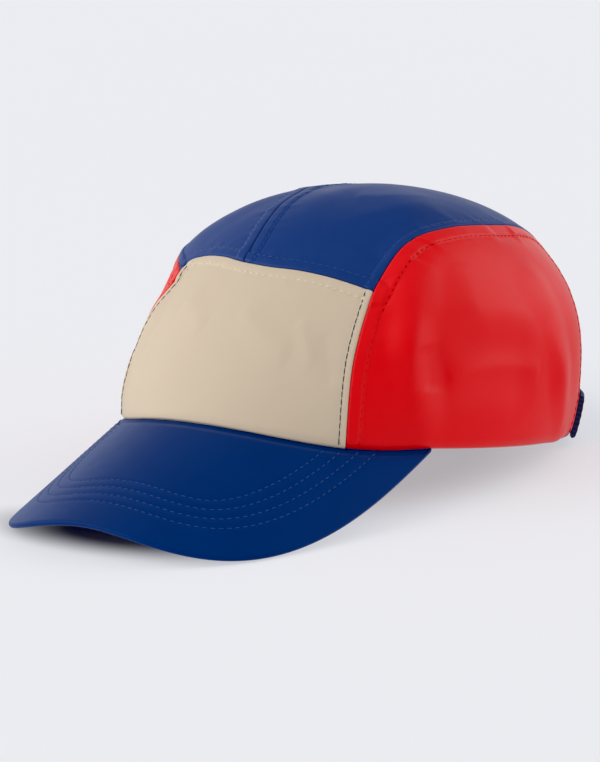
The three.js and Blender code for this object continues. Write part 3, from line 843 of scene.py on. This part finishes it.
# Top panels
# Two strips of blue coated cloth, sewn together along the top of the head, that run from the front
# panel down to the rim at the back. A hemmed arch is cut from them above the strap.
CENTRE_SEAM = [
    (-0.076, -0.546),
    (-0.098, -0.455),
    (-0.128, -0.35),
    (-0.155, -0.23),
    (-0.155, -0.08),
    (-0.125, 0.14),
    (-0.065, 0.42),
    (0, 0.72),
]
LEFT_TOP_SEAM = [
    (0.451, -0.435),
    (0.418, -0.335),
    (0.391, -0.225),
    (0.391, -0.11),
    (0.392, 0.01),
    (0.376, 0.12),
    (0.36, 0.23),
    (0.366, 0.35),
    (0.42, 0.45),
    (0.53, 0.51),
    (0.665, 0.535),
    (0.815, 0.58),
]
RIGHT_TOP_SEAM = [
    (-0.434, -0.447),
    (-0.484, -0.37),
    (-0.53, -0.283),
    (-0.552, -0.172),
    (-0.556, -0.05),
    (-0.543, 0.07),
    (-0.513, 0.2),
    (-0.478, 0.33),
    (-0.485, 0.43),
    (-0.56, 0.505),
    (-0.68, 0.535),
    (-0.815, 0.58),
]
ARCH_HALF = 0.39
ARCH_TOP = 0.72
TOP_FRONT_ROW = 4.8
CENTRE_ROW = 4.9
TOP_SIDE_ROW = 3.4
ARCH_ROW = 4.0
ARCH_SHARE = 0.58  # of the panel's tail, beside the arch
TOP_SIZE = (66, 218)
TOP_CURL = 0.6
SIDES = {"left": 1, "right": -1}
TOP_SEAMS = {"left": LEFT_TOP_SEAM, "right": RIGHT_TOP_SEAM}
arch_foot = math.pi - math.asin(ARCH_HALF)
back_foot = {name: angle_of(rows[-1]) for name, rows in TOP_SEAMS.items()}


def arch_curve(t):
    """The arch from its top at 0 to its left foot at 1, on the plan."""
    foot_back = -math.cos(arch_foot)
    turn = t * math.pi / 2
    return np.stack([ARCH_HALF * np.sin(turn), foot_back + (ARCH_TOP - foot_back) * np.cos(turn)], axis=-1)


def tail(side, t):
    """The lower edge of a top panel: half the arch, and then the rim as far as the side panel."""
    arch = arch_curve(np.minimum(1, t / ARCH_SHARE)) * (SIDES[side], 1)
    past_arch = np.clip((t - ARCH_SHARE) / (1 - ARCH_SHARE), 0, 1)
    rim = rim_arc(SIDES[side] * arch_foot, back_foot[side], past_arch)
    return np.where((t < ARCH_SHARE)[:, None], arch, rim)


seams["centre"] = seam_on_crown(spline(CENTRE_SEAM, FINE))
seams["left_top"] = seam_on_crown(spline(LEFT_TOP_SEAM, FINE))
seams["right_top"] = seam_on_crown(spline(RIGHT_TOP_SEAM, FINE))
seams["arch"] = seam_on_crown(np.concatenate([arch_curve(FINE[::-1]) * (-1, 1), arch_curve(FINE[1:])]))


def top_edges(side):
    halfway = SIDES[side] / 2
    edges = (
        lambda t: spline(FRONT_SEAM, 0.5 + halfway * t),
        lambda t: tail(side, t),
        lambda t: spline(CENTRE_SEAM, t),
        lambda t: spline(TOP_SEAMS[side], t),
    )
    return edges if side == "left" else turned_over(edges)


top_blue = coated_cloth("coated_cloth_blue", "173E84", "143879", glance="C8D6FF", sheen=0.05, gloss=0.3)
blue_thread = thread_finish("polyester_thread_deep_blue", "2B569C", "21488C")
top_rows = []
for side in SIDES:
    edges = top_edges(side)
    node = "top_panel_" + side
    sewn = [("front", [TOP_FRONT_ROW]), ("centre", [CENTRE_ROW])]
    sewn += [(side + "_top", [TOP_SIDE_ROW]), ("arch", [ARCH_ROW])]
    crown_panel("top_cloth_" + side, edges, TOP_SIZE, sewn, TOP_CURL, top_blue, node)
    top_rows += [row_beside(seam, rows[0], edges, sewn) for seam, rows in sewn]
stitched("top_thread", top_rows, blue_thread)


# Side panels
# Red coated cloth over the ears, sewn to the front and top panels and turned under along the rim.
# The cloth is slack, so it bends and dents between its seams.
SIDE_FRONT_ROW = 5.2
SIDE_TOP_ROW = 6.6
TOP_SHARE = 0.588  # of the top seam runs along the panel's top, and the rest down its back
SIDE_SIZE = (172, 96)
SIDE_CURL = 1.0
SIDE_THREAD = 0.38
SIDE_SEAMS = {"left": LEFT_SIDE_SEAM, "right": RIGHT_SIDE_SEAM}


def side_edges(side):
    edges = (
        lambda t: rim_arc(front_foot[side], back_foot[side], t),
        lambda t: spline(TOP_SEAMS[side], TOP_SHARE * t),
        lambda t: spline(SIDE_SEAMS[side], 1 - t),
        lambda t: spline(TOP_SEAMS[side], 1 - (1 - TOP_SHARE) * t),
    )
    return edges if side == "left" else turned_over(edges)


red = coated_cloth(
    "coated_cloth_red", "ED0516", "E60312", glance="FFE4D8", sheen=0.2, roughness=0.38, gloss=0.32
)
# The top rows' thread is darker than the cloth, partly its own red and partly painted shade for the needle
# holes.
red_thread = thread_finish("polyester_thread_red", "BC0814", "A40610", gloss=0.03)
bright_red_thread = thread_finish("polyester_thread_bright_red", "EC0818", "E60414", gloss=0.12)
side_top_rows = []
side_front_rows = []
for side in SIDES:
    edges = side_edges(side)
    sewn = [(side + "_side", [SIDE_FRONT_ROW]), (side + "_top", [SIDE_TOP_ROW])]
    node = "side_panel_" + side
    crown_panel("side_cloth_" + side, edges, SIDE_SIZE, sewn, SIDE_CURL, red, node)
    side_front_rows.append(row_beside(side + "_side", SIDE_FRONT_ROW, edges, sewn))
    side_top_rows.append(row_beside(side + "_top", SIDE_TOP_ROW, edges, sewn))
stitched("side_thread", side_top_rows, red_thread, width=SIDE_THREAD)
stitched("side_front_thread", side_front_rows, bright_red_thread, width=SIDE_THREAD)


# Back strap
# Navy nylon webbing, woven with ribs across it, that bridges the arch and closes the cap at the back.
# Each end is laid over the back seam and sewn down in a box.
STRAP_WIDTH = 16.5
STRAP_THICK = 2.4
STRAP_START = 127 * DEGREES
STRAP_RISE = 4.4
STRAP_CLEAR = 0.4
STRAP_COLUMNS = 460
STRAP_ROWS = 26
RIB_PITCH = 1.35
RIB_HEIGHT = 0.16
SELVEDGE = 1.2  # rounded edge of the webbing
SELVEDGE_THIN = 0.75  # share of the thickness that it loses at its very edge
RIB_FADE = 3.0  # ribs flatten out towards the cut ends
YARN_PITCH = 0.9
YARN_DEPTH = 0.2
BACK_HEM = 0.1  # the lowest tenth of the plan at the back, nearly straight
hem_ends = crown_form(np.zeros(2), np.array([1.0, 1 - BACK_HEM]))
wall_length = np.linalg.norm(hem_ends[0] - hem_ends[1]) / BACK_HEM
strap_length = (math.pi - STRAP_START) * (RIM_WIDE + RIM_LONG)


def strap_place(turn, rise, raised):
    """A point of the strap, raised above the crown: turn runs along it and rise up it, 0 to 1."""
    angle = STRAP_START + 2 * (math.pi - STRAP_START) * turn
    lift = STRAP_RISE * np.sin(math.pi * turn) + STRAP_WIDTH * rise
    plan = np.stack([np.sin(angle), -np.cos(angle)], axis=-1) * (1 - lift / wall_length)[..., None]
    across, back = plan[..., 0], plan[..., 1]
    height = fold_depth(across, back) + raised
    return crown_form(across, back) + crown_normal(across, back) * height[..., None]


# Nylon webbing: hard-wearing ribbed tape with a dull filament sheen, painted as a lighter tint on the
# crown of each yarn.
def webbing_finish():
    material, tree, shader = finish("nylon_webbing_navy")
    cloth = add(tree, "ShaderNodeUVMap", {}, uv_map="cloth").outputs["UV"]
    lines = {"Vector": cloth, "Scale": UV_SPAN / (2 * math.pi * YARN_PITCH), "Distortion": 0.6}
    yarn_with_painted_sheen = add(tree, "ShaderNodeTexWave", lines, bands_direction="Y").outputs["Fac"]
    # Painted sheen: the tint is lighter where the yarn's relief stands highest.
    tints = {"Factor": yarn_with_painted_sheen, "A": linear("18214A"), "B": linear("273468")}
    tint = add(tree, "ShaderNodeMix", tints, data_type="RGBA")
    weave = add(tree, "ShaderNodeBump", {"Height": yarn_with_painted_sheen, "Strength": 0.4, "Distance": YARN_DEPTH * MM})
    feed(shader, {"Base Color": tint.outputs["Result"], "Normal": weave.outputs["Normal"]})
    feed(shader, {"Roughness": 0.7, "IOR": 1.53})
    return material


strap_along = np.linspace(0, 1, STRAP_COLUMNS + 1)
strap_turn, strap_rise = np.meshgrid(strap_along, np.linspace(0, 1, STRAP_ROWS + 1))
edge_room = STRAP_WIDTH * np.minimum(strap_rise, 1 - strap_rise)
end_room = strap_length * np.minimum(strap_turn, 1 - strap_turn)
rounding = 1 - np.sqrt(np.clip(1 - (1 - np.minimum(edge_room, SELVEDGE) / SELVEDGE) ** 2, 0, 1))
ribs = RIB_HEIGHT * np.cos(2 * math.pi * strap_length * strap_turn / RIB_PITCH)
ribs *= np.clip(end_room / RIB_FADE, 0, 1) * np.clip(edge_room / SELVEDGE, 0, 1)
strap_half = (STRAP_THICK / 2) * (1 - SELVEDGE_THIN * rounding) + ribs / 2
strap_middle = STRAP_CLEAR + STRAP_THICK / 2
strap_points = np.concatenate(
    [
        strap_place(strap_turn, strap_rise, strap_middle + strap_half).reshape(-1, 3),
        strap_place(strap_turn, strap_rise, strap_middle - strap_half).reshape(-1, 3),
    ]
)
strap_uv = np.stack([strap_length * strap_turn, STRAP_WIDTH * strap_rise], axis=-1).reshape(-1, 2)
webbing = webbing_finish()
made_piece(
    "strap_webbing",
    strap_points,
    sheet_faces(STRAP_ROWS + 1, STRAP_COLUMNS + 1),
    np.concatenate([strap_uv, strap_uv]),
    webbing,
    "back_strap",
)

BOX_LONG = 15.0  # sewn box at each end of the strap
BOX_IN = 2.6  # in from the strap's edges
BOX_STEPS = np.linspace(0, 1, 30)


def box_rows():
    """A box with a cross in it at each end of the strap."""
    rows = []
    low, high = BOX_IN / STRAP_WIDTH, 1 - BOX_IN / STRAP_WIDTH
    near, far = BOX_IN / strap_length, BOX_LONG / strap_length
    corners = [(near, low), (far, low), (far, high), (near, high), (near, low), (far, high)]
    for flip in (False, True):
        for (t0, r0), (t1, r1) in zip(corners[:-1], corners[1:]):
            turn = t0 + (t1 - t0) * BOX_STEPS
            turn = 1 - turn if flip else turn
            rise = r0 + (r1 - r0) * BOX_STEPS
            raised = np.full_like(turn, strap_middle + STRAP_THICK / 2)
            above = strap_place(turn, rise, raised + 1)
            line = strap_place(turn, rise, raised)
            rows.append((line, unit(above - line)))
    return rows


stitched("strap_thread", box_rows(), navy_thread)


# Strap slider
# One moulded loop of satin black plastic round the webbing at the middle of the back, with eased edges.
SLIDER_LENGTH = 12.0
SLIDER_WALL = 1.5
SLIDER_CLEAR = 0.35
SLIDER_EASE = 0.45  # rounding of its edges
SLIDER_SHARP = 50 * DEGREES  # what counts as an edge
SLIDER_PIT = 0.35
SLIDER_PIT_DEPTH = 0.05
SLIDER_ACROSS = 24
SLIDER_UP = 14


# Moulded acetal: satin from a fine spark-eroded mould, so it glints softly along its eased edges.
def slider_finish():
    material, tree, shader = finish("moulded_acetal_black")
    place = add(tree, "ShaderNodeTexCoord", {}).outputs["Object"]
    specks = {"Vector": place, "Scale": 1 / (SLIDER_PIT * MM), "Detail": 2.0}
    pits = add(tree, "ShaderNodeTexNoise", specks).outputs["Fac"]
    tints = {"Factor": pits, "A": linear("14151A"), "B": linear("1C1E24")}
    tint = add(tree, "ShaderNodeMix", tints, data_type="RGBA")
    grit = add(tree, "ShaderNodeBump", {"Height": pits, "Strength": 0.2, "Distance": SLIDER_PIT_DEPTH * MM})
    feed(shader, {"Base Color": tint.outputs["Result"], "Normal": grit.outputs["Normal"]})
    feed(shader, {"Roughness": 0.42, "IOR": 1.48})
    return material


def slider_loop(grow, share):
    """One turn round the strap, at that distance from it and that share of the slider's length."""
    rise = np.concatenate([np.linspace(0, 1, SLIDER_UP + 1), np.linspace(1, 0, SLIDER_UP + 1)])
    face = np.repeat([1.0, -1.0], SLIDER_UP + 1)
    end = np.where(np.abs(rise - 0.5) == 0.5, np.sign(rise - 0.5) * grow / STRAP_WIDTH, 0)
    turn = np.full_like(rise, 0.5 + SLIDER_LENGTH / strap_length * (share - 0.5))
    return strap_place(turn, rise + end, strap_middle + face * (STRAP_THICK / 2 + grow))


share_out = np.linspace(0, 1, SLIDER_ACROSS + 1)
slider_loops = [slider_loop(SLIDER_CLEAR + SLIDER_WALL, share) for share in share_out]
slider_loops += [slider_loop(SLIDER_CLEAR, share) for share in share_out[::-1]]
slider_points = np.array(slider_loops)
loop_count, loop_size = slider_points.shape[:2]
slider_faces = []
for j in range(loop_count):
    for i in range(loop_size):
        here, there, ahead = j * loop_size, (j + 1) % loop_count * loop_size, (i + 1) % loop_size
        slider_faces.append((here + i, here + ahead, there + ahead, there + i))
slider_uv = np.zeros((loop_count * loop_size, 2))
slider = made_piece(
    "slider_moulding",
    slider_points.reshape(-1, 3),
    slider_faces,
    slider_uv,
    slider_finish(),
    "strap_slider",
)
ease = slider.modifiers.new("eased_edges", "BEVEL")
ease.width = SLIDER_EASE * MM
ease.segments = 3
ease.limit_method = "ANGLE"
ease.angle_limit = SLIDER_SHARP


# Floor
# A plain pale studio floor, in metres, that runs out of the picture on every side. It glows with painted
# light, and painted shadows dim the glow under the visor, and under and behind the crown.
FLOOR_HALF = 30.0
FLOOR_CLOUD = 500.0
FLOOR_PAINTED_GLOW = 0.63
# Painted shadows that dim the floor's glow under the cap, one a row:
# middle, half size, share of the glow that is left, and where the shade ends in shares of its size
PAINTED_FLOOR_SHADOWS = [
    ((-0.012, -0.105, 0), (0.072, 0.028, 1), 0.0, (0.3, 1.1)),
    ((0, 0.025, 0), (0.083, 0.101, 1), 0.7, (0.5, 1.15)),
]


# Matte painted board: an even off-white with a trace of clouding, and a painted glow with painted shadows.
def floor_finish():
    material, tree, shader = finish("white_board_painted_glow")
    place = add(tree, "ShaderNodeTexCoord", {}).outputs["Object"]
    clouds = {"Vector": place, "Scale": 1 / (FLOOR_CLOUD * MM), "Detail": 2.0}
    cloud = add(tree, "ShaderNodeTexNoise", clouds).outputs["Fac"]
    tints = {"Factor": cloud, "A": linear("959599"), "B": linear("97979B")}
    tint = add(tree, "ShaderNodeMix", tints, data_type="RGBA")
    glow = FLOOR_PAINTED_GLOW
    for middle, size, left, span in PAINTED_FLOOR_SHADOWS:
        off = add(tree, "ShaderNodeVectorMath", {0: place, 1: middle}, operation="SUBTRACT")
        share = add(tree, "ShaderNodeVectorMath", {0: off.outputs["Vector"], 1: size}, operation="DIVIDE")
        reach = add(tree, "ShaderNodeVectorMath", {0: share.outputs["Vector"]}, operation="LENGTH")
        fading = {"Value": reach.outputs["Value"], "From Min": span[0], "From Max": span[1], "To Min": left}
        lit = add(tree, "ShaderNodeMapRange", fading, interpolation_type="SMOOTHSTEP")
        dimmed = add(tree, "ShaderNodeMath", {0: glow, 1: lit.outputs["Result"]}, operation="MULTIPLY")
        glow = dimmed.outputs["Value"]
    feed(shader, {"Base Color": tint.outputs["Result"], "Roughness": 0.9, "Specular IOR Level": 0.1})
    # The emission is painted light, and the painted shadows above dim it under the cap.
    feed(shader, {"Emission Color": linear("F3F4F8"), "Emission Strength": glow})
    return material


floor_mesh = bpy.data.meshes.new("floor")
floor_corners = [(-FLOOR_HALF, -FLOOR_HALF, 0), (FLOOR_HALF, -FLOOR_HALF, 0)]
floor_corners += [(FLOOR_HALF, FLOOR_HALF, 0), (-FLOOR_HALF, FLOOR_HALF, 0)]
floor_mesh.from_pydata(floor_corners, [], [(0, 1, 2, 3)])
floor_mesh.materials.append(floor_finish())
floor = bpy.data.objects.new("floor", floor_mesh)
bpy.context.scene.collection.objects.link(floor)
floor.visible_glossy = False


# Camera
# A long lens at the photograph's angle: to the wearer's left of the front, a little above the visor.
CAMERA_AZIMUTH = 37.98 * DEGREES
CAMERA_ELEVATION = 11.5 * DEGREES
CAMERA_ROLL = -2.74 * DEGREES
CAMERA_DISTANCE = 1.3
CAMERA_AIM = Vector((0.0, -0.00463, 0.06502))  # seen at AIM_PIXEL in the photograph
AIM_PIXEL = (296.1, 317.0)
FOCAL_PIXELS = 3315.4
IMAGE = (600, 762)
SENSOR = 36.0  # along the image's longer side

level_back = math.cos(CAMERA_ELEVATION)
camera_side = Vector((math.sin(CAMERA_AZIMUTH), -math.cos(CAMERA_AZIMUTH), 0))
camera_back = camera_side * level_back + Vector((0, 0, math.sin(CAMERA_ELEVATION)))
level_right = Vector((math.cos(CAMERA_AZIMUTH), math.sin(CAMERA_AZIMUTH), 0))
camera_right = Matrix.Rotation(CAMERA_ROLL, 3, camera_back) @ level_right
camera_up = camera_back.cross(camera_right)
aside = (IMAGE[0] / 2 - AIM_PIXEL[0]) / FOCAL_PIXELS
below = (IMAGE[1] / 2 - AIM_PIXEL[1]) / FOCAL_PIXELS
sight = (-camera_back + aside * camera_right - below * camera_up).normalized()
sight_up = (camera_up - camera_up.dot(sight) * sight).normalized()
sight_right = sight.cross(sight_up)
camera = bpy.data.objects.new("camera", bpy.data.cameras.new("camera"))
camera.data.sensor_width = SENSOR
camera.data.lens = FOCAL_PIXELS * SENSOR / max(IMAGE)
turn = Matrix((sight_right, sight_up, -sight)).transposed()
camera.matrix_world = Matrix.Translation(CAMERA_AIM + camera_back * CAMERA_DISTANCE) @ turn.to_4x4()
bpy.context.scene.collection.objects.link(camera)
bpy.context.scene.camera = camera


# Light
# A studio with pale walls that darken towards the ceiling, the floor and the camera. A broad lamp
# stands on the picture's left, a weaker one high behind the cap on its right, and by the camera a very
# soft fill that gloss doesn't show. The walls give the cloth a sheen where it turns from the eye.
WALL_BRIGHT = 1.0
CEILING = 0.2  # share of the walls' brightness
CEILING_SPAN = (0.1, 0.6)  # heights of the way looked along, 1 straight up
BELOW = 0.35
BELOW_SPAN = (-0.15, 0.1)
BEHIND_CAMERA = 0.12
BEHIND_SPAN = (0.25, 0.8)  # 1 is straight to the camera's side
BLACK_POINT = 0.007  # the photograph's deepest colours are cut off a little above black
# name, way towards the lamp, power, angle across
LAMPS = [
    ("key_lamp", (-0.68, -0.6, 0.5), 1.6, 70),
    ("back_lamp", (0.5, 0.68, 0.53), 0.65, 45),
    ("camera_fill", (0.6, -0.75, 0.45), 1.35, 170),
]

world = bpy.data.worlds.new("studio")
world.use_nodes = True
room = world.node_tree
toward = add(room, "ShaderNodeTexCoord", {}).outputs["Generated"]
height = add(room, "ShaderNodeSeparateXYZ", {"Vector": toward}).outputs["Z"]
facing = add(room, "ShaderNodeVectorMath", {0: toward, 1: camera_side}, operation="DOT_PRODUCT")
darker = [
    (height, CEILING_SPAN, 1.0, CEILING),
    (facing.outputs["Value"], BEHIND_SPAN, 1.0, BEHIND_CAMERA),
    (height, BELOW_SPAN, BELOW, 1.0),
]
strength = WALL_BRIGHT
for measure, span, start, end in darker:
    fading = {"Value": measure, "From Min": span[0], "From Max": span[1], "To Min": start, "To Max": end}
    share = add(room, "ShaderNodeMapRange", fading, interpolation_type="SMOOTHSTEP")
    dimmed = add(room, "ShaderNodeMath", {0: strength, 1: share.outputs["Result"]}, operation="MULTIPLY")
    strength = dimmed.outputs["Value"]
feed(room.nodes["Background"], {"Color": linear("F7F7FA"), "Strength": strength})
bpy.context.scene.world = world

for name, way, power, across in LAMPS:
    lamp_data = bpy.data.lights.new(name, "SUN")
    lamp_data.energy = power
    lamp_data.angle = across * DEGREES
    lamp = bpy.data.objects.new(name, lamp_data)
    lamp.rotation_euler = Vector(way).to_track_quat("Z", "Y").to_euler()
    lamp.visible_glossy = name != "camera_fill"
    bpy.context.scene.collection.objects.link(lamp)
display = bpy.context.scene.view_settings
display.view_transform = "Standard"
display.use_curve_mapping = True
display.curve_mapping.black_level = (BLACK_POINT, BLACK_POINT, BLACK_POINT)
